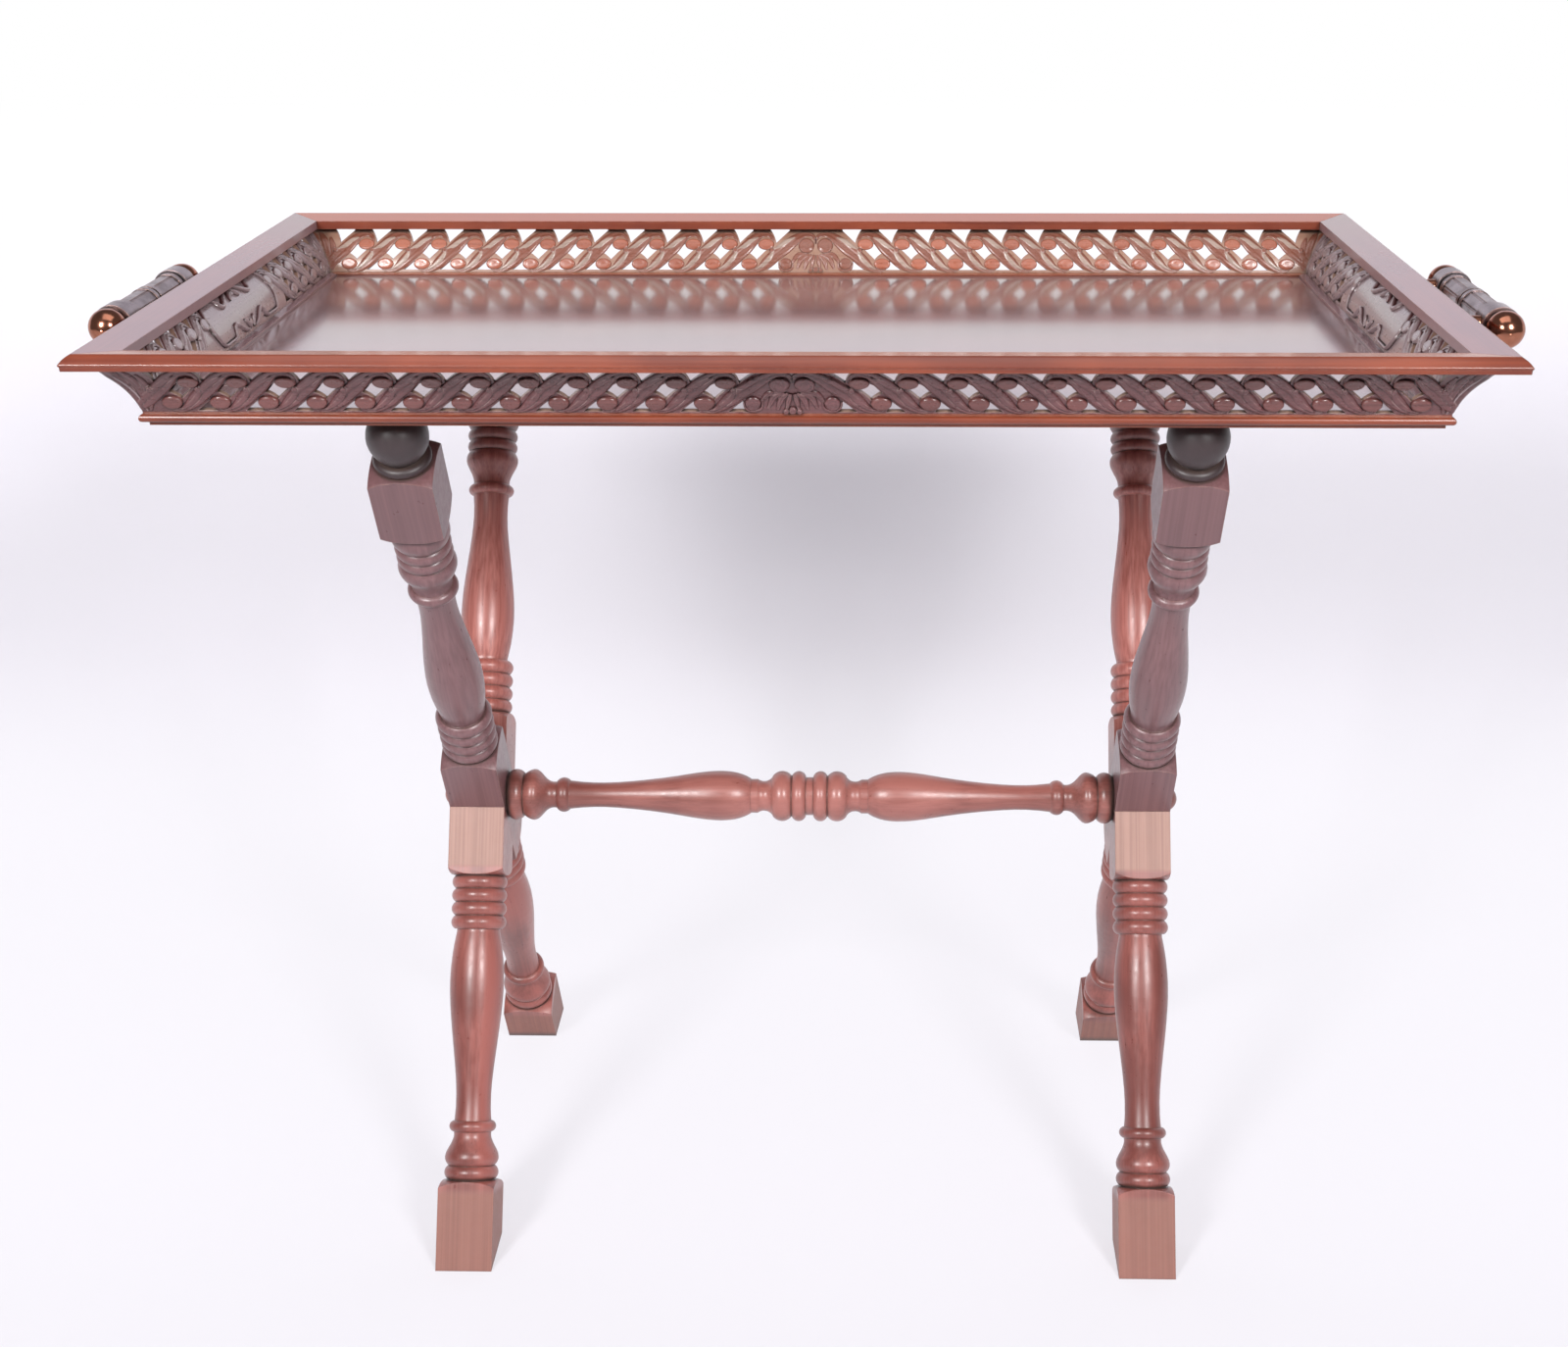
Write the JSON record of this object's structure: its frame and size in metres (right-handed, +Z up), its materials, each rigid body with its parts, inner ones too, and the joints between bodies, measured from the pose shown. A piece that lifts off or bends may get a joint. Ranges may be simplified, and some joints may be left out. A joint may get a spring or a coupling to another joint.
{
  "type": "butlers tray table",
  "caption": "Mahogany butler's tray table: a lift-off tray with a pierced scroll gallery and bar handles rests on the knobs of a cross-legged turned stand.",
  "frame": {"origin": "on the floor under the middle of the stand and of the tray", "axes": "+Z up, +X along the tray's length towards the right-hand handle as seen from the front, +Y towards the back"},
  "size_m": [0.921, 0.506, 0.6748],
  "materials": {
    "polished_bed": "red-brown mahogany panel with a glossy polish",
    "rail_wood": "red-brown mahogany moulding with a satin polish",
    "carved_wood": "dark stained mahogany carving, rubbed pale on its edges",
    "turned_wood": "red-brown mahogany turning with a satin polish",
    "grip_metal": "antiqued grey-brown cast metal",
    "copper_metal": "polished copper-coloured metal",
    "screw_steel": "plain steel"
  },
  "bodies": {
    "stand": {"leg_left_front_foot": "turned_wood", "leg_left_back_foot": "turned_wood", "leg_right_front_foot": "turned_wood", "leg_right_back_foot": "turned_wood", "stretcher": "turned_wood", "tenon_button_left": "turned_wood", "tenon_button_right": "turned_wood"},
    "tray": {"bed_panel": "polished_bed", "base_rail_front": "rail_wood", "gallery_front": "carved_wood", "rim_rail_front": "rail_wood", "base_rail_back": "rail_wood", "gallery_back": "carved_wood", "rim_rail_back": "rail_wood", "base_rail_left": "rail_wood", "gallery_left": "carved_wood", "rim_rail_left": "rail_wood", "base_rail_right": "rail_wood", "gallery_right": "carved_wood", "rim_rail_right": "rail_wood", "handle_bar_left": "grip_metal", "handle_caps_left": "copper_metal", "handle_posts_left": "copper_metal", "handle_screws_left": "screw_steel", "screw_plugs_left": "carved_wood", "handle_bar_right": "grip_metal", "handle_caps_right": "copper_metal", "handle_posts_right": "copper_metal", "handle_screws_right": "screw_steel", "screw_plugs_right": "carved_wood"}
  },
  "joints": [
    {"name": "tray_lift", "type": "slide", "parent": "stand", "child": "tray", "axis": [0, 0, 1], "range_m": [0, 0.3]}
  ]
}
